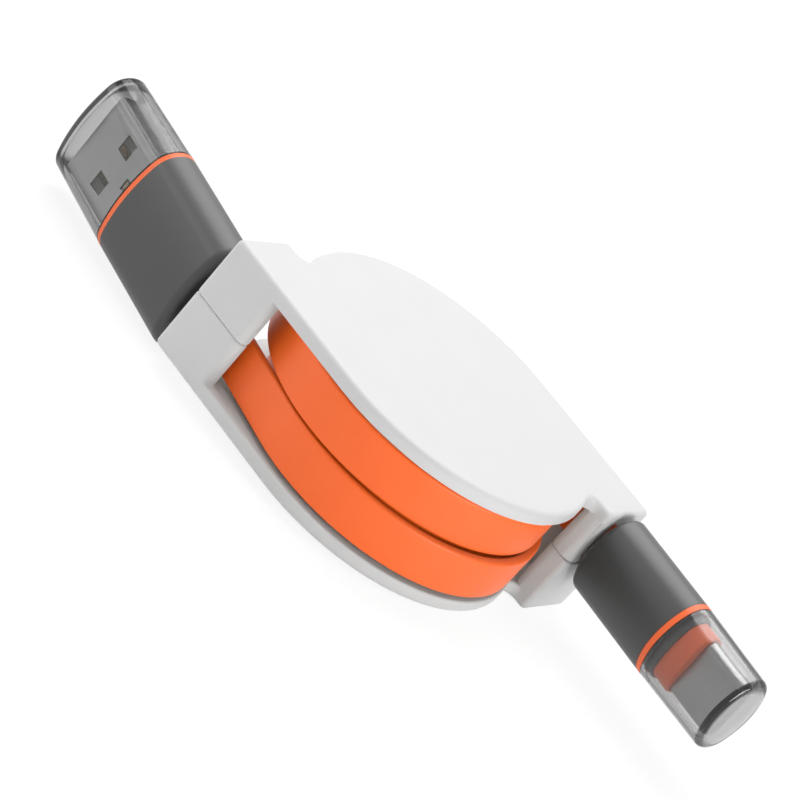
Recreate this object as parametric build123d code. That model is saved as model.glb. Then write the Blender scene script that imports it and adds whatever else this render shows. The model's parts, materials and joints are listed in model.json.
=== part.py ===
from build123d import *
from math import cos, pi, radians, sin, sqrt
import os

# Retractable charging cable: a round two-plate case that holds a sprung spool, with a flat
# cable wound in two layers and a plug with its cap at each end.
# Millimetres, +Z up. The origin is the centre of the round case on its underside, and the
# big plug leaves towards -X.

# Case
PLATE_THICKNESS = 1.9
PLATE_LIP = 0.85
EAR_OVERHANG = 0.65
EAR_WIDTH = 9.9
EAR_NECK_SHARE = 0.36
RIM_ROUNDING = 0.75
INNER_RIM_ROUNDING = 0.3
BLOCK_LENGTH = 9.1
BLOCK_WALL = 2.4
BLOCK_END_WALL = 1.5
NOSE_SHARE = 0.45
POST_NOSE_SHARE = 0.4
POST_LENGTH = 3.7
POST_DEPTH = 2.5
SEAM_GAP = 0.05
SEAM_ROUNDING = 0.3
PEG_RADIUS = 0.6
PEG_LENGTH = 2.0
PEG_CLEARANCE = 0.05
JOIN_OVERLAP = 0.5
CUT_MARGIN = 1.0

# Flat cable
CABLE_WIDTH = 6.05
CABLE_THICKNESS = 1.2
CABLE_EDGE_CLEARANCE = 0.575
CABLE_TURN_GAP = 0.05
COIL_START_ANGLE = 62.5
LOWER_HALF_TURNS = 7
UPPER_HALF_TURNS = 6
COIL_LAYER_GAP = 0.25
LOWER_WRAP_ANGLE = 285.0
UPPER_WRAP_ANGLE = 345.0
LOWER_WRAP_OFFSET = 0.7
UPPER_WRAP_OFFSET = 0.35
WRAP_CLEARANCE = 0.3
BIG_LEAD_ANGLE = 12.5
SMALL_LEAD_ANGLE = 10.5

# Spool
DRUM_RADIUS = 14.4
DRUM_WALL = 1.2
DRUM_END_CLEARANCE = 0.3
DRUM_WEB = 0.8
HUB_WALL = 1.4
ARBOR_RADIUS = 2.5
ARBOR_CLEARANCE = 0.06
ARBOR_SEAT_DEPTH = 1.0
ARBOR_SLOT_WIDTH = 0.6
ARBOR_SLOT_MARGIN = 0.5
SPRING_COVER_THICKNESS = 0.6
SPRING_COVER_RECESS = 0.15
SPRING_COVER_CLEARANCE = 0.05
HUB_OPENING_CLEARANCE = 0.3
SPRING_STRIP = 0.3
SPRING_HOOK_LENGTH = 0.9
SPRING_SIDE_CLEARANCE = 0.25
SPRING_HALF_TURNS = 15
CROSSOVER_ANGLE = 24.0
CROSSOVER_OVERLAP_ANGLE = 4.0
CROSSOVER_CLEARANCE_ANGLE = 0.4
WINDOW_MARGIN = 0.1

# Lock
NOTCH_COUNT = 12
NOTCH_DEPTH = 1.0
TOOTH_RING = 1.2
NOTCH_ANGLE = 16.0
NOTCH_LEAD_IN_ANGLE = 5.0
TOOTH_RING_DROP = 0.6
PAWL_PIVOT_RADIUS = 7.1
PAWL_FLOOR_GAP = 1.4
PAWL_TIP_GAP = 0.4
PAWL_PIN_RADIUS = 1.0
PAWL_PIN_CLEARANCE = 0.06
PAWL_THICKNESS = 2.4
PAWL_WIDTH = 1.6
PAWL_REACH = 6.4
PAWL_TAIL = 3.0
PAWL_SWING = 16.0
PAWL_HOOK_WIDTH = 0.7
PAWL_HOOK_SLOPE = 0.35
PAWL_ARM_DROP = 1.7
PAWL_ARM_SETBACK = 0.4
PAWL_SEAT_STEP = 0.8
PAWL_SEAT_GAP = 0.2
PIN_PROUD = 0.4
PAWL_SPRING_WIRE = 0.3
PAWL_SPRING_GAP = 0.08
PAWL_SPRING_HEIGHT = 1.0
SPRING_ARM_LENGTH = 4.5
SPRING_ARM_OVERRUN = 0.6

# Plug bodies, rings and caps
BIG_BODY_WIDTH = 16.5
BIG_BODY_DEPTH = 8.4
BIG_END_RADIUS = 3.6
BIG_BODY_LENGTH = 17.15
BIG_RING_LENGTH = 0.7
BIG_COLLAR_LENGTH = 0.8
BIG_CAP_LENGTH = 14.65
BIG_CAP_TAPER = 0.25
SMALL_BODY_WIDTH = 11.7
SMALL_BODY_DEPTH = 8.5
SMALL_END_RADIUS = 3.5
SMALL_BODY_LENGTH = 14.45
SMALL_RING_LENGTH = 0.9
SMALL_COLLAR_LENGTH = 1.2
SMALL_CAP_LENGTH = 11.85
SMALL_CAP_TAPER = 0.25
SMALL_NECK_LENGTH = 2.7
SMALL_NECK_SHARE = 15 / 37
SMALL_NECK_DEPTH = 5.2
SMALL_NECK_END_RADIUS = 2.3
SMALL_NECK_ROUNDING = 0.3
SMALL_PLUG_RISE = 3.2
PLUG_STANDOFF = 1.1
PLUG_WALL = 1.0
BIG_BASE_ROUNDING = 1.3
SMALL_BASE_ROUNDING = 0.9
CAP_WALL = 0.8
CAP_END_WALL = 1.1
CAP_END_ROUNDING = 0.8
CAP_GAP = 0.1
CABLE_ENTRY_DEPTH = 3.0
CABLE_ENTRY_CLEARANCE = 0.15
CABLE_END_GAP = 0.2
CORE_CLEARANCE = 0.1

# Big plug's metal end
BIG_SHELL_WIDTH = 12.0
BIG_SHELL_DEPTH = 4.5
BIG_SHELL_REACH = 12.2
BIG_SHELL_SHEET = 0.3
BIG_SHELL_CORNER = 0.6
BIG_WINDOW = 2.4
BIG_WINDOW_SPACING = 6.0
BIG_WINDOW_FROM_TIP = 6.3
BIG_SEAM_SLOT_LENGTH = 1.0
BIG_SEAM_SLOT_WIDTH = 1.7
BIG_SEAM_SLOT_FROM_TIP = 10.0
BIG_TONGUE_DEPTH = 1.9
BIG_TONGUE_SETBACK = 0.6
BIG_CONTACT_SETBACK = 0.9
BIG_CONTACT_WIDTH = 1.0
BIG_CONTACT_LENGTH = 7.4
BIG_CONTACT_PITCH = 2.25
BIG_CONTACT_COUNT = 4
CONTACT_RISE = 0.15

# Small plug's metal end. Its tongue fills the shell's root and is hollowed from the tip.
SMALL_SHELL_WIDTH = 8.25
SMALL_SHELL_DEPTH = 2.4
SMALL_SHELL_CORNER = 1.19
SMALL_SHELL_REACH = 6.7
SMALL_SHELL_SHEET = 0.25
SMALL_TONGUE_SETBACK = 0.2
SMALL_HOLLOW_WIDTH = 6.4
SMALL_HOLLOW_DEPTH = 0.9
SMALL_HOLLOW_LENGTH = 5.0
SMALL_CONTACT_SETBACK = 0.7
SMALL_CONTACT_WIDTH = 0.3
SMALL_CONTACT_LENGTH = 3.4
SMALL_CONTACT_PITCH = 0.85
SMALL_CONTACT_COUNT = 6
SMALL_CONTACT_RISE = 0.08
LATCH_WIDTH = 0.6
LATCH_LENGTH = 1.8
LATCH_RISE = 0.25
LATCH_FROM_TIP = 2.0
LATCH_CREST = 0.2
SHELL_ROOT = 4.0
INNER_FIT = 0.05

# Levels and radii that follow from the sizes above
CASE_HEIGHT = 2 * (PLATE_THICKNESS + CABLE_EDGE_CLEARANCE + CABLE_WIDTH) + COIL_LAYER_GAP
SEAM_Z = CASE_HEIGHT / 2
FLOOR_Z = PLATE_THICKNESS
CEILING_Z = CASE_HEIGHT - PLATE_THICKNESS
LOWER_LAYER_Z = SEAM_Z - COIL_LAYER_GAP / 2 - CABLE_WIDTH
UPPER_LAYER_Z = SEAM_Z + COIL_LAYER_GAP / 2
COIL_PITCH = CABLE_THICKNESS + CABLE_TURN_GAP
COIL_START_RADIUS = DRUM_RADIUS + CABLE_TURN_GAP + CABLE_THICKNESS / 2
COIL_OUTER_RADIUS = COIL_START_RADIUS + (LOWER_HALF_TURNS - 1) * COIL_PITCH / 2 + CABLE_THICKNESS / 2
WRAP_RADIUS = COIL_OUTER_RADIUS + WRAP_CLEARANCE + CABLE_THICKNESS / 2
CASE_RADIUS = WRAP_RADIUS + CABLE_THICKNESS / 2 + PLATE_LIP
EAR_REACH = CASE_RADIUS + EAR_OVERHANG
SMALL_CAP_ROOM = SMALL_BODY_WIDTH - 2 * CAP_WALL - SMALL_SHELL_WIDTH
SMALL_NECK_WIDTH = SMALL_SHELL_WIDTH + SMALL_CAP_ROOM * SMALL_NECK_SHARE
DRUM_INNER_RADIUS = DRUM_RADIUS - DRUM_WALL
DRUM_BOTTOM_Z = FLOOR_Z + DRUM_END_CLEARANCE
DRUM_TOP_Z = CEILING_Z - DRUM_END_CLEARANCE
WEB_Z = SEAM_Z - DRUM_WEB / 2
TOOTH_TIP_RADIUS = DRUM_INNER_RADIUS - TOOTH_RING
PAWL_Z = FLOOR_Z + PAWL_FLOOR_GAP
PAWL_TIP_RADIUS = TOOTH_TIP_RADIUS - PAWL_TIP_GAP
SPOOL_TURNS = 3


def block(x_low, x_high, y_low, y_high, z_low, z_high):
    size = (x_high - x_low, y_high - y_low, z_high - z_low)
    centre = ((x_low + x_high) / 2, (y_low + y_high) / 2, (z_low + z_high) / 2)
    return Pos(*centre) * Box(*size)


def rectangle(x_low, x_high, y_low, y_high):
    centre = ((x_low + x_high) / 2, (y_low + y_high) / 2)
    return Pos(*centre) * Rectangle(x_high - x_low, y_high - y_low)


def rod(radius, z_low, z_high, x=0.0, y=0.0):
    return Pos(x, y, (z_low + z_high) / 2) * Cylinder(radius, z_high - z_low)


def slab(outline, z_low, z_high):
    return Pos(0, 0, z_low) * extrude(outline, z_high - z_low)


# The case: two covers that meet at a seam half way up.

def ear_rectangle():
    return rectangle(-EAR_REACH, 0, -CASE_RADIUS, -CASE_RADIUS + EAR_WIDTH)


def case_outline():
    ears = ear_rectangle() + Rot(0, 0, 180) * ear_rectangle()
    outline = Circle(CASE_RADIUS) + ears
    neck_y = CASE_RADIUS - EAR_WIDTH
    neck_x = sqrt(CASE_RADIUS ** 2 - neck_y ** 2)
    ear_side = [v for v in outline.vertices() if abs(abs(v.Y) - neck_y) < 0.01]
    necks = [v for v in ear_side if abs(abs(v.X) - neck_x) < 0.01]
    return fillet(necks, (EAR_REACH - neck_x) * EAR_NECK_SHARE)


def block_outline():
    outline = case_outline()
    corners = [v for v in outline.vertices() if abs(abs(v.X) - EAR_REACH) < 0.01]
    return fillet(corners, RIM_ROUNDING)


def wall_plan():
    wall = rectangle(-EAR_REACH, -EAR_REACH + BLOCK_LENGTH, -CASE_RADIUS, -CASE_RADIUS + BLOCK_WALL)
    nose = wall.vertices().group_by(Axis.X)[-1]
    return fillet(nose, BLOCK_WALL * NOSE_SHARE)


def post_plan():
    outer_y = -CASE_RADIUS + EAR_WIDTH
    post = rectangle(-EAR_REACH, -EAR_REACH + POST_LENGTH, outer_y - POST_DEPTH, outer_y)
    nose = post.vertices().group_by(Axis.Y)[-1]
    return fillet(nose, POST_LENGTH * POST_NOSE_SHARE)


def end_wall_plan():
    return rectangle(-EAR_REACH, -EAR_REACH + BLOCK_END_WALL, -CASE_RADIUS, -CASE_RADIUS + EAR_WIDTH)


def half_block(open_end, z_low, z_high):
    plan = wall_plan() + post_plan()
    if not open_end:
        plan += end_wall_plan()
    return slab(plan & block_outline(), z_low, z_high)


def peg_places():
    wall_peg = (-EAR_REACH + BLOCK_LENGTH / 2, -CASE_RADIUS + BLOCK_WALL / 2)
    post_peg = (-EAR_REACH + POST_LENGTH / 2, -CASE_RADIUS + EAR_WIDTH - POST_DEPTH / 2)
    places = [wall_peg, post_peg]
    return places + [(-x, -y) for x, y in places]


def rounded_plate(outer_z, inner_z):
    # The ears' corners take the rim's own rounding, so the flat side's corners are points.
    plate = slab(case_outline(), min(outer_z, inner_z), max(outer_z, inner_z))
    outer_rim = plate.edges().filter_by(lambda e: abs(e.center().Z - outer_z) < 0.001)
    ear_corners = plate.edges().filter_by(lambda e: abs(abs(e.center().X) - EAR_REACH) < 0.001)
    upright = ear_corners.filter_by(Axis.Z)
    plate = fillet([*outer_rim, *upright], RIM_ROUNDING)
    inner_rim = plate.edges().filter_by(lambda e: abs(e.center().Z - inner_z) < 0.001)
    return fillet(inner_rim, INNER_RIM_ROUNDING)


def round_seam(cover, seam_z):
    rim = cover.edges().filter_by(lambda e: abs(e.center().Z - seam_z) < 0.001)
    return fillet(rim, SEAM_ROUNDING)


def lower_cover():
    top = SEAM_Z - SEAM_GAP / 2
    big_half = half_block(True, PLATE_THICKNESS - INNER_RIM_ROUNDING, top)
    small_half = Rot(0, 0, 180) * half_block(False, PLATE_THICKNESS - INNER_RIM_ROUNDING, top)
    cover = round_seam(rounded_plate(0, PLATE_THICKNESS) + big_half + small_half, top)
    for x, y in peg_places():
        cover -= rod(PEG_RADIUS + PEG_CLEARANCE, top - PEG_LENGTH - PEG_CLEARANCE, top + CUT_MARGIN, x, y)
    cover -= rod(ARBOR_RADIUS + INNER_FIT, FLOOR_Z - ARBOR_SEAT_DEPTH, FLOOR_Z + CUT_MARGIN)
    pin_foot = FLOOR_Z - JOIN_OVERLAP
    pin_top = PAWL_Z + PAWL_THICKNESS + PIN_PROUD
    cover += rod(PAWL_PIN_RADIUS, pin_foot, pin_top, *pawl_pivot())
    cover += rod(PAWL_PIN_RADIUS + PAWL_SEAT_STEP, pin_foot, PAWL_Z - PAWL_SEAT_GAP, *pawl_pivot())
    return cover + rod(PAWL_PIN_RADIUS, pin_foot, pin_top, *spring_boss())


def upper_cover():
    bottom = SEAM_Z + SEAM_GAP / 2
    big_half = half_block(False, bottom, CEILING_Z + INNER_RIM_ROUNDING)
    small_half = Rot(0, 0, 180) * half_block(True, bottom, CEILING_Z + INNER_RIM_ROUNDING)
    cover = round_seam(rounded_plate(CASE_HEIGHT, CEILING_Z) + big_half + small_half, bottom)
    for x, y in peg_places():
        cover += rod(PEG_RADIUS, bottom - PEG_LENGTH, bottom + JOIN_OVERLAP, x, y)
    return cover - rod(ARBOR_RADIUS + INNER_FIT, CEILING_Z - CUT_MARGIN, CEILING_Z + ARBOR_SEAT_DEPTH)


def arbor():
    low = FLOOR_Z - ARBOR_SEAT_DEPTH
    high = CEILING_Z + ARBOR_SEAT_DEPTH
    pin = rod(ARBOR_RADIUS, low, high)
    half = ARBOR_SLOT_WIDTH / 2
    slot_low = WEB_Z + DRUM_WEB
    return pin - block(0, ARBOR_RADIUS + CUT_MARGIN, -half, half, slot_low, CEILING_Z - ARBOR_SLOT_MARGIN)


# The spool: a drum with a spring chamber above its web and the lock's toothed ring below.

def half_turn_strip(start_radius, pitch, half_turns, thickness):
    # Half circles on two centres in turn, winding outwards clockwise as seen from above.
    outer = []
    inner = []
    for i in range(half_turns):
        centre = (0, 0) if i % 2 == 0 else (pitch / 2, 0)
        radius = start_radius + i * pitch / 2
        start = 180.0 * (i % 2)
        outer.append(CenterArc(centre, radius + thickness / 2, start, -180))
        inner.append(CenterArc(centre, radius - thickness / 2, start, -180))
    first = Line(inner[0] @ 0, outer[0] @ 0)
    last = Line(outer[-1] @ 1, inner[-1] @ 1)
    return make_face(Curve() + [first, *outer, last, *inner])


def ring_sector(inner_radius, outer_radius, start_angle, arc_angle):
    outer = CenterArc((0, 0), outer_radius, start_angle, arc_angle)
    inner = CenterArc((0, 0), inner_radius, start_angle, arc_angle)
    first = Line(inner @ 0, outer @ 0)
    last = Line(outer @ 1, inner @ 1)
    return make_face(Curve() + [first, outer, last, inner])


def notch_plan():
    tip = TOOTH_TIP_RADIUS - PAWL_TIP_GAP / 2
    root = TOOTH_TIP_RADIUS + NOTCH_DEPTH
    half = NOTCH_ANGLE / 2

    def at(radius, angle):
        return (radius * cos(radians(angle)), radius * sin(radians(angle)))

    corners = [at(tip, -half), at(root, -half), at(root, half - NOTCH_LEAD_IN_ANGLE), at(tip, half)]
    return make_face(Polyline(*corners, close=True))


def drum_window():
    start = COIL_START_ANGLE - CROSSOVER_OVERLAP_ANGLE
    window = ring_sector(TOOTH_TIP_RADIUS - CUT_MARGIN, DRUM_RADIUS + CUT_MARGIN, start, CROSSOVER_ANGLE)
    return slab(window, LOWER_LAYER_Z - WINDOW_MARGIN, UPPER_LAYER_Z + CABLE_WIDTH + WINDOW_MARGIN)


def spool_drum():
    hub_radius = ARBOR_RADIUS + ARBOR_CLEARANCE + HUB_WALL
    web_top = WEB_Z + DRUM_WEB
    drum = slab(Circle(DRUM_RADIUS) - Circle(DRUM_INNER_RADIUS), DRUM_BOTTOM_Z, DRUM_TOP_Z)
    teeth = Circle(DRUM_INNER_RADIUS + DRUM_WALL / 2) - Circle(TOOTH_TIP_RADIUS)
    for i in range(NOTCH_COUNT):
        teeth -= Rot(0, 0, pawl_hook_angle() + i * 360 / NOTCH_COUNT) * notch_plan()
    drum += slab(teeth, PAWL_Z - TOOTH_RING_DROP, web_top)
    drum += slab(Circle(DRUM_INNER_RADIUS + DRUM_WALL / 2), WEB_Z, web_top)
    drum -= drum_window()
    drum += slab(Circle(TOOTH_TIP_RADIUS), WEB_Z, web_top)
    drum += slab(Circle(hub_radius), DRUM_BOTTOM_Z, web_top)
    return drum - rod(ARBOR_RADIUS + ARBOR_CLEARANCE, DRUM_BOTTOM_Z - CUT_MARGIN, DRUM_TOP_Z + CUT_MARGIN)


def spring_cover():
    high = DRUM_TOP_Z - SPRING_COVER_RECESS
    disc = Circle(DRUM_INNER_RADIUS - SPRING_COVER_CLEARANCE) - Circle(ARBOR_RADIUS + HUB_OPENING_CLEARANCE)
    return slab(disc, high - SPRING_COVER_THICKNESS, high)


def mainspring():
    low = WEB_Z + DRUM_WEB + SPRING_SIDE_CLEARANCE
    high = DRUM_TOP_Z - SPRING_COVER_RECESS - SPRING_COVER_THICKNESS - SPRING_SIDE_CLEARANCE
    first_radius = ARBOR_RADIUS + HUB_OPENING_CLEARANCE + SPRING_STRIP / 2
    last_radius = DRUM_INNER_RADIUS - SPRING_COVER_CLEARANCE - SPRING_STRIP / 2
    pitch = 2 * (last_radius - first_radius) / SPRING_HALF_TURNS
    coil = slab(half_turn_strip(first_radius, pitch, SPRING_HALF_TURNS, SPRING_STRIP), low, high)
    half = SPRING_STRIP / 2
    hook = block(ARBOR_RADIUS - SPRING_HOOK_LENGTH, first_radius, -half, half, low, high)
    return coil + hook


def cable_coil(half_turns, layer_z):
    strip = half_turn_strip(COIL_START_RADIUS, COIL_PITCH, half_turns, CABLE_THICKNESS)
    return slab(Rot(0, 0, COIL_START_ANGLE) * strip, layer_z, layer_z + CABLE_WIDTH)


def coil_length(half_turns):
    middle_radius = COIL_START_RADIUS + (half_turns - 1) * COIL_PITCH / 4
    return pi * half_turns * middle_radius


def cable_crossover():
    start = COIL_START_ANGLE - CROSSOVER_OVERLAP_ANGLE + CROSSOVER_CLEARANCE_ANGLE
    arc = CROSSOVER_ANGLE - 2 * CROSSOVER_CLEARANCE_ANGLE
    strip = ring_sector(DRUM_RADIUS - CABLE_THICKNESS, DRUM_RADIUS, start, arc)
    return slab(strip, LOWER_LAYER_Z, UPPER_LAYER_Z + CABLE_WIDTH)


# The lock: a pawl on a moulded pin, held clear of the drum's notches by a wire spring.

def pawl_pivot():
    return (0.0, PAWL_PIVOT_RADIUS)


def pawl_hook_rest():
    rise = sqrt(PAWL_TIP_RADIUS ** 2 - PAWL_REACH ** 2) - PAWL_PIVOT_RADIUS
    return (PAWL_REACH, rise)


def pawl_hook_angle():
    x, y = pawl_hook_rest()
    swing = radians(PAWL_SWING)
    turned = Vector(x * cos(swing) - y * sin(swing), x * sin(swing) + y * cos(swing))
    return Vector(1, 0).get_signed_angle(turned + Vector(*pawl_pivot()), Vector(0, 0, 1))


def lock_pawl():
    x, y = pawl_pivot()
    hook_x, hook_y = pawl_hook_rest()
    eye = Circle(PAWL_PIN_RADIUS + PAWL_WIDTH / 2)
    tail = rectangle(-PAWL_TAIL, 0, -PAWL_WIDTH / 2, PAWL_WIDTH / 2)
    elbow = (hook_x - PAWL_ARM_SETBACK, hook_y - PAWL_ARM_DROP)
    heel = (hook_x - PAWL_HOOK_WIDTH, hook_y - PAWL_HOOK_SLOPE)
    corners = [(0, -PAWL_WIDTH / 2), elbow, (hook_x, hook_y), heel, (0, PAWL_WIDTH / 2)]
    arm = make_face(Polyline(*corners, close=True))
    plan = eye + tail + arm - Circle(PAWL_PIN_RADIUS + PAWL_PIN_CLEARANCE)
    return Pos(x, y, 0) * slab(plan, PAWL_Z, PAWL_Z + PAWL_THICKNESS)


def spring_boss():
    pivot_x, pivot_y = pawl_pivot()
    coil_radius = PAWL_PIN_RADIUS + INNER_FIT + PAWL_SPRING_WIRE
    arm_high = pivot_y - PAWL_WIDTH / 2 - PAWL_SPRING_GAP
    return (pivot_x - PAWL_TAIL - SPRING_ARM_LENGTH, arm_high - coil_radius)


def pawl_spring():
    x, y = spring_boss()
    inner = PAWL_PIN_RADIUS + INNER_FIT
    outer = inner + PAWL_SPRING_WIRE
    coil = Circle(outer) - Circle(inner)
    arm = rectangle(0, SPRING_ARM_LENGTH + SPRING_ARM_OVERRUN, outer - PAWL_SPRING_WIRE, outer)
    low = PAWL_Z + (PAWL_THICKNESS - PAWL_SPRING_HEIGHT) / 2
    return Pos(x, y, 0) * slab(coil + arm, low, low + PAWL_SPRING_HEIGHT)


# The leads: the outermost turn of each layer and the straight run to its plug.

def lead_length(lead_angle):
    start_x = WRAP_RADIUS * sin(radians(lead_angle))
    return (EAR_REACH + PLUG_STANDOFF - start_x) / cos(radians(lead_angle))


def cable_lead(lead_angle, layer_z, wrap_angle, offset):
    # The turn's centre is moved back along the lead, and its inner face is cut clear of the coil.
    turned = WRAP_RADIUS - CABLE_THICKNESS / 2
    turn = ring_sector(turned, turned + CABLE_THICKNESS, 270, wrap_angle)
    wrap = Pos(offset, 0, 0) * turn - Circle(turned)
    run = lead_length(lead_angle) + CABLE_ENTRY_DEPTH - CABLE_END_GAP
    strip = rectangle(-run, offset, -turned - CABLE_THICKNESS, -turned)
    plan = Rot(0, 0, -lead_angle) * (wrap + strip)
    return slab(plan, layer_z, layer_z + CABLE_WIDTH)


def plug_plane(lead_angle, layer_z, rise, side):
    turn = radians(lead_angle)
    run = lead_length(lead_angle)
    x = -WRAP_RADIUS * sin(turn) - run * cos(turn)
    y = -WRAP_RADIUS * cos(turn) + run * sin(turn)
    lift = radians(rise)
    along = (-cos(turn) * cos(lift) * side, sin(turn) * cos(lift) * side, sin(lift))
    up = (cos(turn) * sin(lift) * side, -sin(turn) * sin(lift) * side, cos(lift))
    return Plane(origin=(x * side, y * side, layer_z + CABLE_WIDTH / 2), x_dir=along, z_dir=up)


# Plugs. Each is drawn along its own +X from its base, with its width along +Z.

def oval(width, depth, end_radius):
    half_width = width / 2
    half_depth = depth / 2
    reach = half_width - end_radius
    face_radius = (reach ** 2 + half_depth ** 2 - end_radius ** 2) / (2 * (half_depth - end_radius))
    drop = face_radius - half_depth
    scale = face_radius / (face_radius - end_radius)
    join = (reach * scale, -drop + drop * scale)
    top = ThreePointArc((-join[0], join[1]), (0, half_depth), join)
    right = ThreePointArc(join, (half_width, 0), (join[0], -join[1]))
    bottom = ThreePointArc((join[0], -join[1]), (0, -half_depth), (-join[0], -join[1]))
    left = ThreePointArc((-join[0], -join[1]), (-half_width, 0), (-join[0], join[1]))
    return make_face(Curve() + [top, right, bottom, left])


def section_plane(x):
    # A sketch's x runs along the plug's -Z, and its y along the plug's +Y.
    return Plane(origin=(x, 0, 0), x_dir=(0, 0, -1), z_dir=(1, 0, 0))


def prism(outline, x_low, x_high):
    return section_plane(x_low) * extrude(outline, x_high - x_low)


def edges_at_x(part, x):
    flat = part.edges().filter_by(lambda e: e.bounding_box().size.X < 0.01)
    return flat.filter_by(lambda e: abs(e.center().X - x) < 0.01)


def plug_body(width, depth, end_radius, length, base_rounding):
    body = prism(oval(width, depth, end_radius), 0, length)
    body = fillet(edges_at_x(body, 0), base_rounding)
    inner = oval(width - 2 * PLUG_WALL, depth - 2 * PLUG_WALL, end_radius - PLUG_WALL)
    body -= prism(inner, CABLE_ENTRY_DEPTH, length + CUT_MARGIN)
    slot_depth = CABLE_THICKNESS + 2 * CABLE_ENTRY_CLEARANCE
    slot_width = CABLE_WIDTH + 4 * CABLE_ENTRY_CLEARANCE
    return body - prism(Rectangle(slot_width, slot_depth), -CUT_MARGIN, CABLE_ENTRY_DEPTH + CUT_MARGIN)


def plug_core(width, depth, end_radius, length, collar_end, opening):
    # The filled inner block, which carries the metal end and comes out as the cap's collar.
    inset = PLUG_WALL + CORE_CLEARANCE
    outline = oval(width - 2 * inset, depth - 2 * inset, end_radius - inset)
    core = prism(outline, CABLE_ENTRY_DEPTH, collar_end)
    return core - prism(opening, length - SHELL_ROOT, collar_end + CUT_MARGIN)


def plug_ring(width, depth, end_radius, low, length):
    inner = oval(width - 2 * PLUG_WALL, depth - 2 * PLUG_WALL, end_radius - PLUG_WALL)
    return prism(oval(width, depth, end_radius) - inner, low, low + length)


def plug_cap(width, depth, end_radius, start, length, taper):
    low = start + CAP_GAP
    high = low + length
    outer = loft([section_plane(low) * oval(width, depth, end_radius),
                  section_plane(high) * oval(width - 2 * taper, depth - 2 * taper, end_radius - taper)])
    outer = fillet(edges_at_x(outer, high), CAP_END_ROUNDING)
    inset = CAP_WALL
    deep = high - CAP_END_WALL
    inner = loft([section_plane(low) * oval(width - 2 * inset, depth - 2 * inset, end_radius - inset),
                  section_plane(deep) * oval(width - 2 * (inset + taper), depth - 2 * (inset + taper),
                                             end_radius - inset - taper)])
    return outer - inner


def big_shell_opening():
    return Rectangle(BIG_SHELL_WIDTH + 2 * INNER_FIT, BIG_SHELL_DEPTH + 2 * INNER_FIT)


def big_shell_tip():
    return BIG_BODY_LENGTH + BIG_RING_LENGTH + BIG_SHELL_REACH


def big_plug_shell():
    root = BIG_BODY_LENGTH - SHELL_ROOT
    tip = big_shell_tip()
    outer = RectangleRounded(BIG_SHELL_WIDTH, BIG_SHELL_DEPTH, BIG_SHELL_CORNER)
    inner = RectangleRounded(BIG_SHELL_WIDTH - 2 * BIG_SHELL_SHEET, BIG_SHELL_DEPTH - 2 * BIG_SHELL_SHEET,
                             BIG_SHELL_CORNER - BIG_SHELL_SHEET)
    shell = prism(outer - inner, root, tip)
    window_x = tip - BIG_WINDOW_FROM_TIP
    for side in (-1, 1):
        window_z = side * BIG_WINDOW_SPACING / 2
        shell -= Pos(window_x, 0, window_z) * Box(BIG_WINDOW, 2 * BIG_SHELL_DEPTH, BIG_WINDOW)
    slot_x = tip - BIG_SEAM_SLOT_FROM_TIP
    slot = Pos(slot_x, BIG_SHELL_DEPTH / 2, 0) * Box(BIG_SEAM_SLOT_LENGTH, 1, BIG_SEAM_SLOT_WIDTH)
    return shell - slot


def big_plug_tongue():
    root = BIG_BODY_LENGTH - SHELL_ROOT
    low = -BIG_SHELL_DEPTH / 2 + BIG_SHELL_SHEET + INNER_FIT
    half = BIG_SHELL_WIDTH / 2 - BIG_SHELL_SHEET - INNER_FIT
    tongue = block(root, big_shell_tip() - BIG_TONGUE_SETBACK, low, low + BIG_TONGUE_DEPTH, -half, half)
    return chamfer(tongue.edges().filter_by(Axis.X), BIG_SHELL_CORNER / 2)


def big_plug_contacts():
    face = -BIG_SHELL_DEPTH / 2 + BIG_SHELL_SHEET + INNER_FIT + BIG_TONGUE_DEPTH
    high = big_shell_tip() - BIG_TONGUE_SETBACK - BIG_CONTACT_SETBACK
    low = high - BIG_CONTACT_LENGTH
    strips = []
    for i in range(BIG_CONTACT_COUNT):
        centre = (i - (BIG_CONTACT_COUNT - 1) / 2) * BIG_CONTACT_PITCH
        half = BIG_CONTACT_WIDTH / 2
        strips.append(block(low, high, face, face + CONTACT_RISE, centre - half, centre + half))
    return Compound(children=strips)


def small_outline(inset):
    # The metal end's own outline, and those that follow it further in or out.
    width = SMALL_SHELL_WIDTH - 2 * inset
    return RectangleRounded(width, SMALL_SHELL_DEPTH - 2 * inset, SMALL_SHELL_CORNER - inset)


def small_shell_opening():
    return small_outline(-INNER_FIT)


def small_collar_end():
    return SMALL_BODY_LENGTH + SMALL_RING_LENGTH + SMALL_COLLAR_LENGTH


def small_plug_neck():
    low = small_collar_end()
    tip = low + SMALL_NECK_LENGTH
    neck = prism(oval(SMALL_NECK_WIDTH, SMALL_NECK_DEPTH, SMALL_NECK_END_RADIUS), low, tip)
    neck = fillet(edges_at_x(neck, tip), SMALL_NECK_ROUNDING)
    return neck - prism(small_shell_opening(), low - CUT_MARGIN, tip + CUT_MARGIN)


def small_shell_tip():
    return small_collar_end() + SMALL_NECK_LENGTH + SMALL_SHELL_REACH


def small_plug_shell():
    root = SMALL_BODY_LENGTH - SHELL_ROOT
    return prism(small_outline(0) - small_outline(SMALL_SHELL_SHEET), root, small_shell_tip())


def small_plug_tongue():
    tip = small_shell_tip() - SMALL_TONGUE_SETBACK
    tongue = prism(small_outline(SMALL_SHELL_SHEET + INNER_FIT), SMALL_BODY_LENGTH - SHELL_ROOT, tip)
    hollow = Rectangle(SMALL_HOLLOW_WIDTH, SMALL_HOLLOW_DEPTH)
    return tongue - prism(hollow, tip - SMALL_HOLLOW_LENGTH, tip + CUT_MARGIN)


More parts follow.
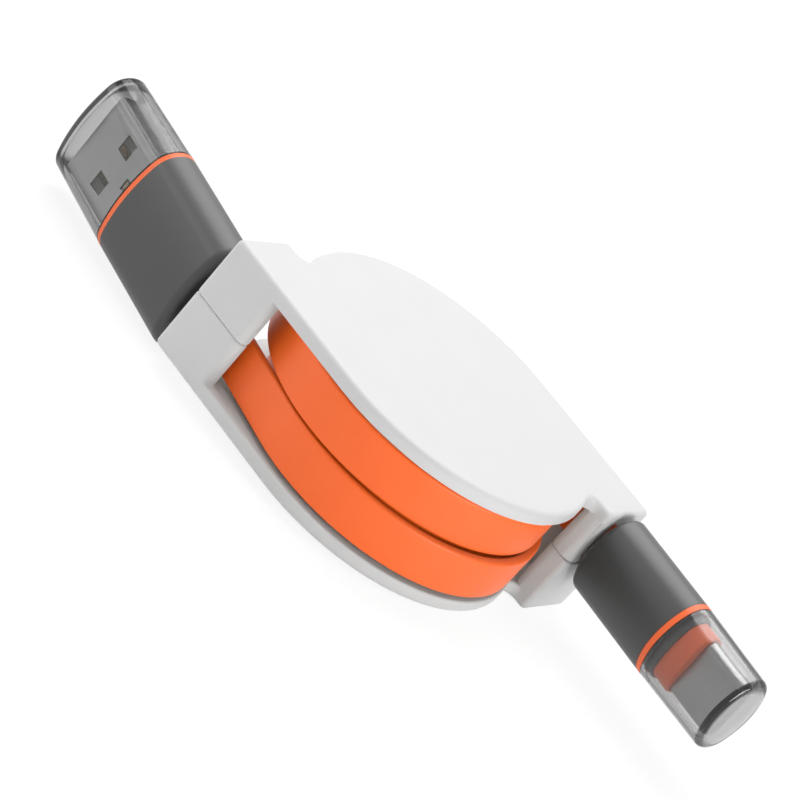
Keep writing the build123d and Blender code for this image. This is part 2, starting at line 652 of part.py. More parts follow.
def small_plug_contacts():
    face = SMALL_HOLLOW_DEPTH / 2
    high = small_shell_tip() - SMALL_TONGUE_SETBACK - SMALL_CONTACT_SETBACK
    low = high - SMALL_CONTACT_LENGTH
    half = SMALL_CONTACT_WIDTH / 2
    strips = []
    for i in range(SMALL_CONTACT_COUNT):
        centre = (i - (SMALL_CONTACT_COUNT - 1) / 2) * SMALL_CONTACT_PITCH
        strips.append(block(low, high, face - SMALL_CONTACT_RISE, face, centre - half, centre + half))
        strips.append(block(low, high, -face, SMALL_CONTACT_RISE - face, centre - half, centre + half))
    return Compound(children=strips)


def small_plug_latches():
    # One ramp on each narrow side of the tongue's hollow.
    x = small_shell_tip() - LATCH_FROM_TIP
    half = LATCH_LENGTH / 2
    foot = SMALL_HOLLOW_WIDTH / 2
    crest = foot - LATCH_RISE
    corners = [(x - half, foot), (x + half, foot), (x + half * LATCH_CREST, crest), (x - half, crest)]
    ramp = Pos(0, 0, -LATCH_WIDTH / 2) * extrude(make_face(Polyline(*corners, close=True)), LATCH_WIDTH)
    return Compound(children=[Rot(90, 0, 0) * ramp, Rot(-90, 0, 0) * ramp])


big_plane = plug_plane(BIG_LEAD_ANGLE, LOWER_LAYER_Z, 0, 1)
small_plane = plug_plane(SMALL_LEAD_ANGLE, UPPER_LAYER_Z, SMALL_PLUG_RISE, -1)
big_oval = (BIG_BODY_WIDTH, BIG_BODY_DEPTH, BIG_END_RADIUS)
small_oval = (SMALL_BODY_WIDTH, SMALL_BODY_DEPTH, SMALL_END_RADIUS)
lower_lead = cable_lead(BIG_LEAD_ANGLE, LOWER_LAYER_Z, LOWER_WRAP_ANGLE, LOWER_WRAP_OFFSET)
upper_lead = cable_lead(SMALL_LEAD_ANGLE, UPPER_LAYER_Z, UPPER_WRAP_ANGLE, UPPER_WRAP_OFFSET)
big_ring_end = BIG_BODY_LENGTH + BIG_RING_LENGTH
small_ring_end = SMALL_BODY_LENGTH + SMALL_RING_LENGTH
big_collar_end = big_ring_end + BIG_COLLAR_LENGTH

big_plug_parts = {
    "big_plug_body": plug_body(*big_oval, BIG_BODY_LENGTH, BIG_BASE_ROUNDING),
    "big_plug_core": plug_core(*big_oval, BIG_BODY_LENGTH, big_collar_end, big_shell_opening()),
    "big_plug_ring": plug_ring(*big_oval, BIG_BODY_LENGTH, BIG_RING_LENGTH),
    "big_plug_shell": big_plug_shell(),
    "big_plug_tongue": big_plug_tongue(),
    "big_plug_contacts": big_plug_contacts(),
    "big_plug_cap": plug_cap(*big_oval, big_ring_end, BIG_CAP_LENGTH, BIG_CAP_TAPER),
}
small_plug_parts = {
    "small_plug_body": plug_body(*small_oval, SMALL_BODY_LENGTH, SMALL_BASE_ROUNDING),
    "small_plug_core": plug_core(*small_oval, SMALL_BODY_LENGTH, small_collar_end(), small_shell_opening()),
    "small_plug_ring": plug_ring(*small_oval, SMALL_BODY_LENGTH, SMALL_RING_LENGTH),
    "small_plug_neck": small_plug_neck(),
    "small_plug_shell": small_plug_shell(),
    "small_plug_tongue": small_plug_tongue(),
    "small_plug_contacts": small_plug_contacts(),
    "small_plug_latches": small_plug_latches(),
    "small_plug_cap": plug_cap(*small_oval, small_ring_end, SMALL_CAP_LENGTH, SMALL_CAP_TAPER),
}
parts = {
    "lower_cover": lower_cover(),
    "upper_cover": upper_cover(),
    "arbor": arbor(),
    "pawl_spring": pawl_spring(),
    "lock_pawl": lock_pawl(),
    "spool_drum": spool_drum(),
    "spring_cover": spring_cover(),
    "mainspring": mainspring(),
    "cable_coil_lower": cable_coil(LOWER_HALF_TURNS, LOWER_LAYER_Z),
    "cable_coil_upper": cable_coil(UPPER_HALF_TURNS, UPPER_LAYER_Z),
    "cable_crossover": cable_crossover(),
    "cable_lead_lower": lower_lead,
    "cable_lead_upper": Rot(0, 0, 180) * upper_lead,
}
for name, part in big_plug_parts.items():
    parts[name] = big_plane * part
for name, part in small_plug_parts.items():
    parts[name] = small_plane * part

os.makedirs("parts", exist_ok=True)
for name, part in parts.items():
    export_step(part, f"parts/{name}.step")

print("big plug base", big_plane.origin, "along", big_plane.x_dir)
print("small plug base", small_plane.origin, "along", small_plane.x_dir)
print("coil outer radius", COIL_OUTER_RADIUS, "wrap radius", WRAP_RADIUS)
print("coil start angle", COIL_START_ANGLE, "pawl pivot and hook", pawl_pivot(), pawl_hook_angle())
print("pull per side", SPOOL_TURNS * 2 * pi * (WRAP_RADIUS - COIL_PITCH))
print("coil lengths", coil_length(LOWER_HALF_TURNS), coil_length(UPPER_HALF_TURNS))
print("wrap lengths", radians(LOWER_WRAP_ANGLE) * WRAP_RADIUS, radians(UPPER_WRAP_ANGLE) * WRAP_RADIUS)
print("straight leads", lead_length(BIG_LEAD_ANGLE), lead_length(SMALL_LEAD_ANGLE))
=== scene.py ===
import bpy
import bmesh
import json
import math
from mathutils import Matrix, Vector


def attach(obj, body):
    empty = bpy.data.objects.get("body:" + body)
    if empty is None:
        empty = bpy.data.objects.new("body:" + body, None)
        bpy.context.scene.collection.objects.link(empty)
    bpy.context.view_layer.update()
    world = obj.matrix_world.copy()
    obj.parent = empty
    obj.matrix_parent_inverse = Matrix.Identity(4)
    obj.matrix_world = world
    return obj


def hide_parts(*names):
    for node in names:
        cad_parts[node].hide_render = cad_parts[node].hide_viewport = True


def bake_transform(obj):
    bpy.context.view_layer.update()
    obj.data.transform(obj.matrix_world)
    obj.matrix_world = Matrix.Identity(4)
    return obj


# The looks of a retractable charging cable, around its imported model.

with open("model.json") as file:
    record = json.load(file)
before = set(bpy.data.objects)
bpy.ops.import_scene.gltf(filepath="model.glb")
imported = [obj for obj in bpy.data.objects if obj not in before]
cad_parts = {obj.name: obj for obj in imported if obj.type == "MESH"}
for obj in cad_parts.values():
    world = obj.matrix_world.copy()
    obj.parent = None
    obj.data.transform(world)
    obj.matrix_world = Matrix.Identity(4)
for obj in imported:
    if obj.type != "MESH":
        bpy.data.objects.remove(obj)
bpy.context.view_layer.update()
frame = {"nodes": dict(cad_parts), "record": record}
nodes = frame["nodes"]
SLOT_OF = {entry["node"]: entry["material_slot"] for entry in frame["record"]["subparts"]}
BODY_OF = {node: body for body, members in frame["record"]["behaviour"]["bodies"].items() for node in members}

MM = 0.001

# The cable's sizes and the plugs' places, in millimetres and degrees, from the part's source.
CABLE_WIDTH = 6.05
CABLE_THICKNESS = 1.2
CABLE_EDGE_RADIUS = 0.36
WRAP_RADIUS = 20.3
LOWER_WRAP_ANGLE = 285.0
UPPER_WRAP_ANGLE = 345.0
LOWER_WRAP_OFFSET = 0.7
UPPER_WRAP_OFFSET = 0.35
COIL_CLEAR_RADIUS = 19.7
LOWER_LAYER_Z = 2.475
UPPER_LAYER_Z = 8.775
LEAD_RUN = 22.37
BIG_LEAD_ANGLE = 12.5
SMALL_LEAD_ANGLE = 10.5
SMALL_PLUG_RISE = 3.2
BIG_BASE = (-23.5, -15.5831, 5.5)
SMALL_BASE = (23.5, 16.2902, 11.8)

# Where pieces end along a plug, in millimetres past its base.
BIG_RING_END = 17.85
BIG_COLLAR_END = BIG_RING_END + 0.12
BIG_CAP_END = 32.5
SMALL_BODY_END = 14.45
SMALL_RING_END = 15.35
SMALL_CAP_END = 27.2

# A plug's base, its turn about z, and how far its tip rises.
BIG_PLACE = (BIG_BASE, 180.0 - BIG_LEAD_ANGLE, 0.0)
SMALL_PLACE = (SMALL_BASE, -SMALL_LEAD_ANGLE, SMALL_PLUG_RISE)


def grey(level):
    return (level, level, level)


# Shader maths

class Level:
    """A number that varies over a surface, so that masks read as sums and products."""

    def __init__(self, maker, socket):
        self.maker = maker
        self.socket = socket

    def calculate(self, operation, *values, clamp=False):
        settings = {"operation": operation, "use_clamp": clamp}
        return self.maker.node("ShaderNodeMath", settings, dict(enumerate(values)))

    def __add__(self, other):
        return self.calculate("ADD", self, other)

    def __radd__(self, other):
        return self.calculate("ADD", other, self)

    def __sub__(self, other):
        return self.calculate("SUBTRACT", self, other)

    def __rsub__(self, other):
        return self.calculate("SUBTRACT", other, self)

    def __mul__(self, other):
        return self.calculate("MULTIPLY", self, other)

    def __rmul__(self, other):
        return self.calculate("MULTIPLY", other, self)

    def __truediv__(self, other):
        return self.calculate("DIVIDE", self, other)

    def __pow__(self, other):
        return self.calculate("POWER", self, other)

    def magnitude(self):
        return self.calculate("ABSOLUTE", self)

    def clamped(self):
        return self.calculate("ADD", self, 0.0, clamp=True)

    def step(self, low, high):
        """0 below low, 1 above high, and a smooth rise between them."""
        settings = {"interpolation_type": "SMOOTHSTEP"}
        sockets = {"Value": self, "From Min": low, "From Max": high}
        return self.maker.node("ShaderNodeMapRange", settings, sockets, "Result")


class NodeMaker:
    """Makes any node of a node tree by its type, its settings and the values of its sockets."""

    def __init__(self, tree):
        self.tree = tree
        self.tree.nodes.clear()

    def put(self, target, value):
        """Sets a socket to a value, or links it to another socket."""
        if isinstance(value, Level):
            self.tree.links.new(value.socket, target)
        elif isinstance(value, bpy.types.NodeSocket):
            self.tree.links.new(value, target)
        elif isinstance(value, tuple) and len(value) == 3 and target.type == "RGBA":
            target.default_value = (*value, 1.0)
        else:
            target.default_value = value

    def node(self, kind, settings, sockets, result=0):
        """The new node's result as a Level, or the node itself where result is None."""
        made = self.tree.nodes.new(kind)
        for name, value in settings.items():
            setattr(made, name, value)
        for name, value in sockets.items():
            self.put(made.inputs[name], value)
        return made if result is None else Level(self, made.outputs[result])

    def mixed(self, share, first, second):
        """A shader that is the first at a share of 0 and the second at 1."""
        sockets = {0: share, 1: first.outputs[0], 2: second.outputs[0]}
        return self.node("ShaderNodeMixShader", {}, sockets, None)

    def seen_directly(self):
        """1 on a ray from the camera, a mirror or clear plastic, and 0 on one that only gathers light."""
        path = self.node("ShaderNodeLightPath", {}, {}, None)
        camera_ray = Level(self, path.outputs["Is Camera Ray"])
        mirrored = Level(self, path.outputs["Is Glossy Ray"])
        through = Level(self, path.outputs["Is Transmission Ray"])
        return (camera_ray + mirrored + through).clamped()


class Finish(NodeMaker):
    """A material. The sockets of its own shader are named with _ for each space."""

    def __init__(self, name, **sockets):
        self.material = bpy.data.materials.new(name)
        self.material.use_nodes = True
        super().__init__(self.material.node_tree)
        self.output = self.node("ShaderNodeOutputMaterial", {}, {}, None)
        self.shader = self.node("ShaderNodeBsdfPrincipled", {}, {}, None)
        self.feed(**sockets).show(self.shader)

    def feed(self, **sockets):
        for name, value in sockets.items():
            self.put(self.shader.inputs[name.replace("_", " ")], value)
        return self

    def show(self, shader):
        self.put(self.output.inputs["Surface"], shader.outputs[0])
        return self

    def place(self):
        """Object coordinates in millimetres."""
        here = self.node("ShaderNodeTexCoord", {}, {}, "Object").socket
        return self.node("ShaderNodeVectorMath", {"operation": "SCALE"}, {0: here, "Scale": 1 / MM}).socket

    def scaled(self, vector, factors):
        return self.node("ShaderNodeVectorMath", {"operation": "MULTIPLY"}, {0: vector, 1: factors}).socket

    def turned(self, vector, base, turn, rise):
        """The same point seen from a plug: x along it from its base, y through it and z across its width."""
        rotation = (0.0, -math.radians(rise), math.radians(turn))
        sockets = {"Vector": vector, "Location": base, "Rotation": rotation}
        return self.node("ShaderNodeMapping", {"vector_type": "TEXTURE"}, sockets).socket

    def parts(self, vector):
        split = self.node("ShaderNodeSeparateXYZ", {}, {"Vector": vector}, None)
        return [Level(self, part) for part in split.outputs]

    def noise(self, vector, scale, detail=2.0, roughness=0.5):
        sockets = {"Vector": vector, "Scale": scale, "Detail": detail, "Roughness": roughness}
        return self.node("ShaderNodeTexNoise", {}, sockets, "Fac")

    def blend(self, share, first, second):
        """A colour that is the first at a share of 0 and the second at 1."""
        mix = self.node("ShaderNodeMix", {"data_type": "RGBA"}, {"Factor": share}, None)
        self.put(mix.inputs[6], first)
        self.put(mix.inputs[7], second)
        return mix.outputs[2]

    def bump(self, height, depth_mm):
        sockets = {"Strength": 1.0, "Distance": depth_mm * MM, "Height": height}
        return self.feed(Normal=self.node("ShaderNodeBump", {}, sockets, "Normal"))

    def pale_bounce(self, colour_of_ray):
        """The light that this finish throws on to other pieces is paler than the finish itself."""
        path = self.node("ShaderNodeLightPath", {}, {}, None)
        seen = self.shader
        for ray, colour in colour_of_ray.items():
            plain = self.node("ShaderNodeBsdfDiffuse", {}, {"Color": colour}, None)
            seen = self.mixed(path.outputs[ray], seen, plain)
        return self.show(seen)


# Finishes

def case_plastic():
    """White moulded plastic: a fine spark texture and faint patches of gloss."""
    finish = Finish("case_plastic", IOR=1.46)
    place = finish.place()
    grain = finish.noise(place, scale=9.0, detail=3.0, roughness=0.6)
    patches = finish.noise(place, scale=0.12)
    finish.feed(Base_Color=finish.blend(patches, grey(0.60), grey(0.63)))
    finish.feed(Roughness=0.44 + 0.08 * patches + 0.05 * grain)
    return finish.bump(grain, depth_mm=0.004).pale_bounce({"Is Diffuse Ray": grey(0.92)})


def cable_jacket():
    """Soft orange jacket that glows faintly, a painted glow standing in for light on its shaded parts: fine
    draw lines along its length and a dull sheen.
    """
    # Painted light: the emission makes the jacket glow although it is no lamp.
    finish = Finish("cable_jacket", IOR=1.46, Specular_IOR_Level=0.7,
                    Emission_Color=(1.0, 0.14, 0.01), Emission_Strength=0.05)
    place = finish.place()
    lines = finish.noise(finish.scaled(place, (0.15, 0.15, 5.0)), scale=1.0, detail=3.0, roughness=0.6)
    grain = finish.noise(place, scale=14.0)
    patches = finish.noise(place, scale=0.25)
    finish.feed(Base_Color=finish.blend(patches, (0.90, 0.116, 0.001), (0.93, 0.130, 0.004)))
    finish.feed(Roughness=0.42 + 0.1 * lines)
    finish.bump(lines * 0.7 + grain * 0.3, depth_mm=0.012)
    return finish.pale_bounce({"Is Diffuse Ray": (0.80, 0.60, 0.52), "Is Glossy Ray": (0.40, 0.38, 0.37)})


# How far past the body's end the painted shade beside a ring starts to fade, and where it is gone.
GROOVE_SHADE_FADE = (0.08, 0.2)


def ring_plastic(name, groove_shade=None):
    """Orange plastic. The optional second argument is a plug's place and the end of its body, which the ring
    stands off from; beside that end the ring gets a dark band of painted shade.
    """
    finish = Finish(name, IOR=1.48)
    place = finish.place()
    grain = finish.noise(place, scale=10.0)
    colour = finish.blend(grain, (0.87, 0.13, 0.025), (0.91, 0.15, 0.03))
    if groove_shade is not None:
        place_of, body_end = groove_shade
        along = finish.parts(finish.turned(place, *place_of))[0]
        # Painted shade: the ring is nearly black at the body's end, where shade falls in the gap between
        # them, and pales further along.
        ring = along.step(body_end + GROOVE_SHADE_FADE[0], body_end + GROOVE_SHADE_FADE[1])
        colour = finish.blend(ring, (0.06, 0.02, 0.012), colour)
    finish.feed(Base_Color=colour)
    finish.feed(Roughness=0.38 + 0.1 * grain)
    return finish.bump(grain, depth_mm=0.003)


def plug_plastic(name, shade):
    """Soft-touch grey: an even fine grain that breaks the gloss, and a sheen along its sides."""
    finish = Finish(name, IOR=1.5, Specular_IOR_Level=0.85, Sheen_Weight=0.25, Sheen_Roughness=0.3)
    place = finish.place()
    grain = finish.noise(place, scale=12.0, detail=3.0, roughness=0.65)
    patches = finish.noise(place, scale=0.2)
    finish.feed(Base_Color=finish.blend(patches, grey(shade), grey(shade * 1.15)))
    finish.feed(Roughness=0.42 + 0.12 * grain)
    return finish.bump(grain, depth_mm=0.006)


# The painted shade and the frost in a smoked cap: each pair is where a mark starts to change and where it has
# changed.
CAP_MOUTH = (0.22, 0.34)        # millimetres past the ring
CAP_RIM_FADE = 0.25             # millimetres along the cap
CAP_FROST = (0.12, 0.06)        # millimetres before the flat end
CAP_ROUNDNESS = 2.6             # the power that makes a cap's outline 1
CAP_RIM_OUTLINE = (0.46, 0.62)
CAP_FROST_OUTLINE = (0.36, 0.52)
CAP_SIDE_INNER = (0.64, 0.76)   # shares of half the width
CAP_SIDE_OUTER = (0.88, 0.99)
CAP_SHADE_STREAKS = (0.35, 0.6)
CAP_LEAST_SHADE_STREAK = 0.45


def smoked_plastic(name, place_of, start, end, half_width, half_depth, rim_width, rim_painted_shade, side_painted_shade,
                   smoke, frost, gloss):
    """Clear smoked plastic: the smoke is in its depth and its flat end may be frosted. Its mouth, its thick
    rim and long soft bands down its rounded sides are darkened with painted shade, where light would bend
    through thick plastic."""
    finish = Finish(name, IOR=1.12, Transmission_Weight=1.0, Coat_Weight=gloss, Coat_IOR=1.5,
                    Coat_Roughness=0.04)
    place = finish.turned(finish.place(), *place_of)
    flow = finish.noise(place, scale=0.4)
    # Soft streaks along the cap, which vary the painted shade down its sides.
    shade_streaks = finish.noise(finish.scaled(place, (0.03, 1.1, 1.1)), scale=1.0).step(*CAP_SHADE_STREAKS)
    along, deep, wide = finish.parts(place)
    edge = (wide / half_width).magnitude()
    outline = edge ** CAP_ROUNDNESS + (deep / half_depth).magnitude() ** CAP_ROUNDNESS

    # Painted shade: the mouth beside the ring, the thick rim at the end and bands down the rounded sides are
    # darkened in the colour.
    mouth = 1.0 - along.step(start + CAP_MOUTH[0], start + CAP_MOUTH[1])
    rim = along.step(end - rim_width, end - rim_width + CAP_RIM_FADE) * outline.step(*CAP_RIM_OUTLINE)
    side = edge.step(*CAP_SIDE_INNER) * (1.0 - edge.step(*CAP_SIDE_OUTER))
    side = side * (CAP_LEAST_SHADE_STREAK + (1.0 - CAP_LEAST_SHADE_STREAK) * shade_streaks)
    clear = finish.blend(side, grey(0.95), grey(side_painted_shade))
    finish.feed(Base_Color=finish.blend((rim + mouth).clamped(), clear, grey(rim_painted_shade)))
    finish.feed(Roughness=0.02 + 0.04 * flow)

    pale = finish.node("ShaderNodeBsdfPrincipled", {}, {"Base Color": grey(0.42), "Roughness": 0.3}, None)
    flat_end = along.step(end - CAP_FROST[0], end - CAP_FROST[1]) * (1.0 - outline.step(*CAP_FROST_OUTLINE))
    finish.show(finish.mixed(flat_end * frost * (0.9 + 0.2 * flow), finish.shader, pale))
    depth = finish.node("ShaderNodeVolumeAbsorption", {}, {"Color": grey(0.2), "Density": smoke}, None)
    finish.put(finish.output.inputs["Volume"], depth.outputs[0])
    return finish


def shell_metal(name, shade):
    """Nickel plate: bright, with fine rolling lines and soft smudges."""
    finish = Finish(name, Metallic=1.0)
    place = finish.place()
    lines = finish.noise(finish.scaled(place, (0.6, 6.0, 6.0)), scale=1.0, detail=3.0, roughness=0.6)
    smudges = finish.noise(place, scale=0.35, detail=3.0)
    finish.feed(Base_Color=finish.blend(smudges, grey(shade), grey(shade * 1.14)))
    finish.feed(Roughness=0.22 + 0.12 * lines + 0.1 * smudges)
    return finish.bump(lines, depth_mm=0.003)


def inner_finish(name, first, second, roughness, spread, scale, stretch=None, **sockets):
    """A piece that shows little: one grain in its colour and its gloss, drawn out into lines by a stretch."""
    finish = Finish(name, **sockets)
    place = finish.place()
    if stretch is None:
        grain = finish.noise(place, scale)
    else:
        grain = finish.noise(finish.scaled(place, stretch), scale, detail=3.0)
    finish.feed(Base_Color=finish.blend(grain, first, second))
    finish.feed(Roughness=roughness + spread * grain)
    return finish


def core_plastic():
    finish = Finish("core_plastic", IOR=1.5)
    grain = finish.noise(finish.place(), scale=10.0)
    finish.feed(Base_Color=finish.blend(grain, grey(0.05), grey(0.06)))
    finish.feed(Roughness=0.4 + 0.15 * grain)
    return finish.bump(grain, depth_mm=0.004)


def contact_gold():
    return inner_finish("contact_gold", (0.50, 0.41, 0.26), (0.60, 0.50, 0.34), roughness=0.2, spread=0.15,
                        scale=1.0, stretch=(2.0, 9.0, 9.0), Metallic=1.0)


def tongue_plastic():
    return inner_finish("tongue_plastic", (0.78, 0.78, 0.75), (0.82, 0.82, 0.79), roughness=0.4, spread=0.1,
                        scale=8.0, IOR=1.5)


def spring_steel():
    return inner_finish("spring_steel", (0.42, 0.42, 0.43), (0.56, 0.56, 0.57), roughness=0.25, spread=0.2,
                        scale=1.0, stretch=(1.0, 1.0, 8.0), Metallic=1.0)


def natural_plastic(name):
    return inner_finish(name, (0.68, 0.67, 0.63), (0.74, 0.73, 0.70), roughness=0.45, spread=0.12,
                        scale=6.0, IOR=1.46)


SLOT_FINISHES = {
    "case_white": case_plastic(),
    "cable_orange": cable_jacket(),
    "ring_orange": ring_plastic("ring_plastic"),
    "plug_grey": plug_plastic("big_plug_plastic", shade=0.016),
    "plug_black": core_plastic(),
    "cap_smoke": smoked_plastic("big_cap_smoke", BIG_PLACE, BIG_RING_END, BIG_CAP_END, half_width=8.0,
                                half_depth=4.0, rim_width=1.35, rim_painted_shade=0.008, side_painted_shade=0.38,
                                smoke=360.0, frost=0.0, gloss=0.6),
    "shell_metal": shell_metal("shell_metal", shade=0.44),
    "contact_gold": contact_gold(),
    "tongue_white": tongue_plastic(),
    "steel": spring_steel(),
    "spool_plastic": natural_plastic("spool_natural_plastic"),
    "lock_plastic": natural_plastic("lock_natural_plastic"),
}

# Nodes whose finish differs from the rest of their slot. The small plug's body and shell are darker copies of
# the large plug's finishes, painted shade for the lesser light that reaches them.
NODE_FINISHES = {
    "small_plug_body": plug_plastic("small_plug_plastic", shade=0.014),
    "small_plug_ring": ring_plastic("small_ring_plastic", groove_shade=(SMALL_PLACE, SMALL_BODY_END)),
    "small_plug_shell": shell_metal("small_shell_metal", shade=0.36),
    "small_plug_cap": smoked_plastic("small_cap_smoke", SMALL_PLACE, SMALL_RING_END, SMALL_CAP_END,
                                     half_width=5.6, half_depth=4.0, rim_width=0.75, rim_painted_shade=0.16,
                                     side_painted_shade=0.85, smoke=420.0, frost=0.62, gloss=0.9),
}


def wear(piece, slot, node_name=None):
    piece.data.materials.clear()
    piece.data.materials.append(NODE_FINISHES.get(node_name, SLOT_FINISHES[slot]).material)


for name, node in nodes.items():
    wear(node, SLOT_OF[name], name)


# Pieces

# Edges sharper than these angles stay crisp, in degrees.
CABLE_CREASE = 35.0
MOULDED_CREASE = 32.0

# Points of a node's triangles closer than this are one, in millimetres.
MERGE_DISTANCE = 0.0005


def put_in_scene(name, data):
    made = bpy.data.objects.new(name, data)
    bpy.context.scene.collection.objects.link(made)
    return made


def mesh_in_metres(name, work):
    """A mesh from a bmesh in millimetres, which it uses up."""
    mesh = bpy.data.meshes.new(name)
    bmesh.ops.scale(work, vec=(MM, MM, MM), verts=work.verts)
    work.to_mesh(mesh)
    work.free()
    return mesh


def add_piece(name, work, slot, crease, node_name=None):
    """A piece with its place in its mesh, and its rounded edges shaded as curves."""
    mesh = mesh_in_metres(name, work)
    mesh.shade_smooth()
    mesh.set_sharp_from_angle(angle=math.radians(crease))
    piece = put_in_scene(name, mesh)
    wear(piece, slot, node_name)
    return piece


def edges_among(items):
    return [item for item in items if isinstance(item, bmesh.types.BMEdge)]


def strip_section(width, thickness, radius, y_middle, z_low):
    """The closed outline of the flat cable in the plane x = 0, with its four corners rounded."""
    work = bmesh.new()
    corners = [(0.0, y_middle + side * thickness / 2, z_low + level * width)
               for side, level in ((-1, 0), (1, 0), (1, 1), (-1, 1))]
    face = work.faces.new([work.verts.new(corner) for corner in corners])
    bmesh.ops.bevel(work, geom=list(face.verts), offset=radius, offset_type="OFFSET", segments=5,
                    profile=0.5, affect="VERTICES", material=-1)
    bmesh.ops.delete(work, geom=list(work.faces), context="FACES_ONLY")
    flat_edges = [edge for edge in work.edges if edge.calc_length() > width / 2]
    bmesh.ops.subdivide_edges(work, edges=flat_edges, cuts=5)
    return work


def draw_out(work, ring, step, count):
    """Extrudes a ring of edges count times by step, and gives the last ring."""
    for _ in range(count):
        grown = bmesh.ops.extrude_edge_only(work, edges=ring)["geom"]
        corners = {item for item in grown if isinstance(item, bmesh.types.BMVert)}
        bmesh.ops.translate(work, vec=step, verts=list(corners))
        ring = [edge for edge in edges_among(grown) if set(edge.verts) <= corners]
    return ring


def heading_of(lead_angle, turn):
    """The direction in which a lead leaves the case: towards -X, swung by lead_angle and then turned."""
    heading = Vector((-math.cos(math.radians(lead_angle)), math.sin(math.radians(lead_angle)), 0))
    heading.rotate(Matrix.Rotation(math.radians(turn), 3, "Z"))
    return heading


# How finely the cable is swept: degrees of a turn, and steps of its straight run.
WRAP_STEP = 1.5
LEAD_STEPS = 18


def cable_lead(name, node_name, layer_z, lead_angle, turn, wrap_angle, offset):
    """The outermost turn of a layer and its straight run, swept from one section."""
    work = strip_section(CABLE_WIDTH, CABLE_THICKNESS, CABLE_EDGE_RADIUS, -WRAP_RADIUS, layer_z)
    bmesh.ops.translate(work, vec=(offset, 0, 0), verts=work.verts)
    section = list(work.edges)
    turned = bmesh.ops.spin(work, geom=section + list(work.verts), cent=(offset, 0, 0), axis=(0, 0, 1),
                            angle=math.radians(wrap_angle), steps=round(wrap_angle / WRAP_STEP),
                            use_merge=False, use_duplicate=False)
    inner_end = edges_among(turned["geom_last"])
    plug_end = draw_out(work, section, (-(LEAD_RUN + offset) / LEAD_STEPS, 0, 0), LEAD_STEPS)
    # The turn is off the spool's centre, and where it would sink into the coil it lies on it instead.
    for corner in work.verts:
        reach = corner.co.xy.length
        if reach < COIL_CLEAR_RADIUS:
            corner.co.xy *= COIL_CLEAR_RADIUS / reach
    bmesh.ops.edgeloop_fill(work, edges=inner_end)
    bmesh.ops.edgeloop_fill(work, edges=plug_end)
    bmesh.ops.recalc_face_normals(work, faces=work.faces)
    bmesh.ops.rotate(work, cent=(0, 0, 0), matrix=Matrix.Rotation(math.radians(turn - lead_angle), 3, "Z"),
                     verts=work.verts)
    piece = add_piece(name, work, "cable_orange", CABLE_CREASE)
    heading = heading_of(lead_angle, turn)
    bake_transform(piece)
    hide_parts(node_name)


cable_lead("cable_lower_turn", "cable_lead_lower", LOWER_LAYER_Z,
           BIG_LEAD_ANGLE, turn=0.0, wrap_angle=LOWER_WRAP_ANGLE, offset=LOWER_WRAP_OFFSET)
cable_lead("cable_upper_turn", "cable_lead_upper", UPPER_LAYER_Z,
           SMALL_LEAD_ANGLE, turn=180.0, wrap_angle=UPPER_WRAP_ANGLE, offset=UPPER_WRAP_OFFSET)


# A piece given a bend has its edges over this length, in millimetres, divided by this many cuts.
BENT_EDGE_LENGTH = 1.5
BENT_EDGE_CUTS = 8

# The lock's wire spring is given the pawl's body and two places, in millimetres, as its bend.
PAWL_SPRING_BEND = ("pawl", (-6.3, 6.0, 5.0), (-3.3, 6.0, 5.0))


def cut_off(work, place, heading):
    """Takes off what lies past a place in the direction of heading, and closes the cut."""
    everything = work.verts[:] + work.edges[:] + work.faces[:]
    made = bmesh.ops.bisect_plane(work, geom=everything, plane_co=place, plane_no=heading, clear_outer=True)
    bmesh.ops.triangle_fill(work, edges=edges_among(made["geom_cut"]), use_beauty=True, use_dissolve=False)
    bmesh.ops.recalc_face_normals(work, faces=work.faces)


def smooth_copy(node_name, piece_name, cut=None, bend=None):
    """A node's own shape with its triangles merged, so that its rounded edges shade as curves. A cut is the
    place and heading to cut it off at. The bend's body and two ends are not used: when a bend is given, the
    long edges are only divided finely and the piece is left on no body."""
    work = bmesh.new()
    work.from_mesh(nodes[node_name].data)
    bmesh.ops.scale(work, vec=(1 / MM,) * 3, verts=work.verts)
    bmesh.ops.remove_doubles(work, verts=work.verts, dist=MERGE_DISTANCE)
    if cut is not None:
        cut_off(work, *cut)
    if bend is not None:
        long_edges = [edge for edge in work.edges if edge.calc_length() > BENT_EDGE_LENGTH]
        bmesh.ops.subdivide_edges(work, edges=long_edges, cuts=BENT_EDGE_CUTS, use_grid_fill=True)
    piece = add_piece(piece_name, work, SLOT_OF[node_name], MOULDED_CREASE, node_name)
    weighted = piece.modifiers.new("even_shading", "WEIGHTED_NORMAL")
    weighted.keep_sharp = True
    weighted.weight = 100
    if bend is None:
        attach(piece, BODY_OF[node_name])
    else:
        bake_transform(piece)
    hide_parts(node_name)


SMOOTHED_NODES = (
    "lower_cover", "upper_cover",
    "big_plug_body", "big_plug_core", "big_plug_ring", "big_plug_cap", "big_plug_shell",
    "small_plug_body", "small_plug_core", "small_plug_ring", "small_plug_neck", "small_plug_cap",
    "small_plug_shell", "small_plug_tongue",
    "cable_coil_lower", "cable_coil_upper", "spool_drum", "mainspring",
)

BIG_HEADING = heading_of(BIG_LEAD_ANGLE, 0.0)
CUTS = {"big_plug_core": (Vector(BIG_BASE) + BIG_HEADING * BIG_COLLAR_END, BIG_HEADING)}

for node_name in SMOOTHED_NODES:
    smooth_copy(node_name, node_name + "_shaped", cut=CUTS.get(node_name))

smooth_copy("pawl_spring", "pawl_spring_bent", bend=PAWL_SPRING_BEND)


# Floor: it leans with the part, which rests on the large plug and on the far ear. In millimetres.

FLOOR_SLOPE = 0.0583
FLOOR_CONTACT_X = 22.4
FLOOR_GAP = 0.02
FLOOR_RADIUS = 3000.0

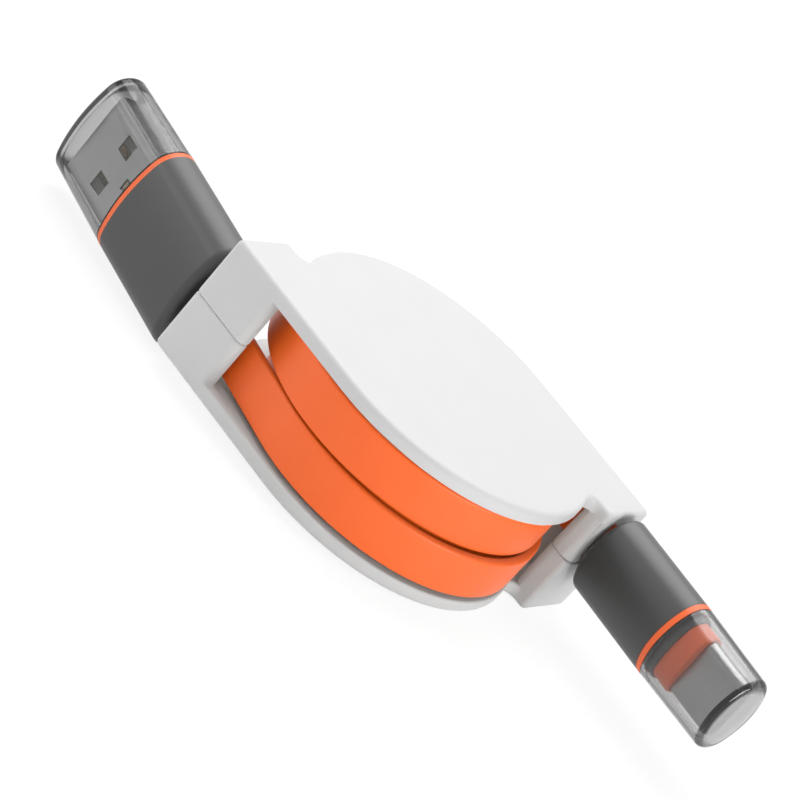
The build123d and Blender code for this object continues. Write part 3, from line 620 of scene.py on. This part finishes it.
# How much of the floor is its own glow where it is seen, and how strong that glow is.
FLOOR_GLOW_SHARE = 0.84
FLOOR_GLOW = 1.04


def floor_finish():
    finish = Finish("floor_white", Base_Color=grey(0.9), Roughness=0.9)
    glow = finish.node("ShaderNodeEmission", {}, {"Color": grey(1.0), "Strength": FLOOR_GLOW}, None)
    return finish.show(finish.mixed(finish.seen_directly() * FLOOR_GLOW_SHARE, finish.shader, glow))


floor_work = bmesh.new()
bmesh.ops.create_circle(floor_work, cap_ends=True, segments=96, radius=FLOOR_RADIUS)
lean = Matrix.Rotation(-math.atan(FLOOR_SLOPE), 3, "Y")
bmesh.ops.rotate(floor_work, cent=(0, 0, 0), matrix=lean, verts=floor_work.verts)
floor_drop = (0, 0, -FLOOR_SLOPE * FLOOR_CONTACT_X - FLOOR_GAP)
bmesh.ops.translate(floor_work, vec=floor_drop, verts=floor_work.verts)
floor = put_in_scene("floor", mesh_in_metres("floor", floor_work))
floor.data.materials.append(floor_finish().material)


# Camera, as fitted to the photograph

camera_data = bpy.data.cameras.new("camera")
camera_data.sensor_width = 36.0
camera_data.lens = 126.465
camera_data.clip_start = 0.01
camera = put_in_scene("camera", camera_data)
camera.matrix_world = Matrix((
    (0.576956, -0.728876, 0.368594, 0.12145),
    (0.537798, -0.000640, -0.843073, -0.28511),
    (0.614732, 0.684646, 0.391619, 0.14275),
    (0.0, 0.0, 0.0, 1.0),
))
bpy.context.scene.camera = camera


# Light, in metres and watts

def softbox(name, place, size, watts):
    """A soft rectangular lamp that is turned towards the middle of the part."""
    lamp = bpy.data.lights.new(name, "AREA")
    lamp.shape = "RECTANGLE"
    lamp.size, lamp.size_y = size
    lamp.energy = watts
    lamp_object = put_in_scene(name, lamp)
    lamp_object.location = place
    lamp_object.rotation_euler = (-Vector(place)).to_track_quat("-Z", "Y").to_euler()


softbox("overhead_light", place=(-0.28, 0.15, 0.62), size=(0.75, 0.6), watts=5.55)
softbox("right_light", place=(0.7, -0.07, 0.12), size=(0.45, 0.3), watts=3.5)
softbox("left_light", place=(-0.65, -0.32, 0.14), size=(0.45, 0.3), watts=1.05)

# The surround lights the part evenly, and is white where it is seen itself.
SURROUND_LIGHT = 0.385
SURROUND_WHITE = 1.0

world = bpy.data.worlds.new("studio")
bpy.context.scene.world = world
world.use_nodes = True
surround = NodeMaker(world.node_tree)
even, white = [surround.node("ShaderNodeBackground", {}, {"Color": grey(1.0), "Strength": strength}, None)
               for strength in (SURROUND_LIGHT, SURROUND_WHITE)]
shown = surround.mixed(surround.seen_directly(), even, white)
surround.node("ShaderNodeOutputWorld", {}, {"Surface": shown.outputs[0]}, None)

bpy.context.scene.view_settings.view_transform = "Standard"
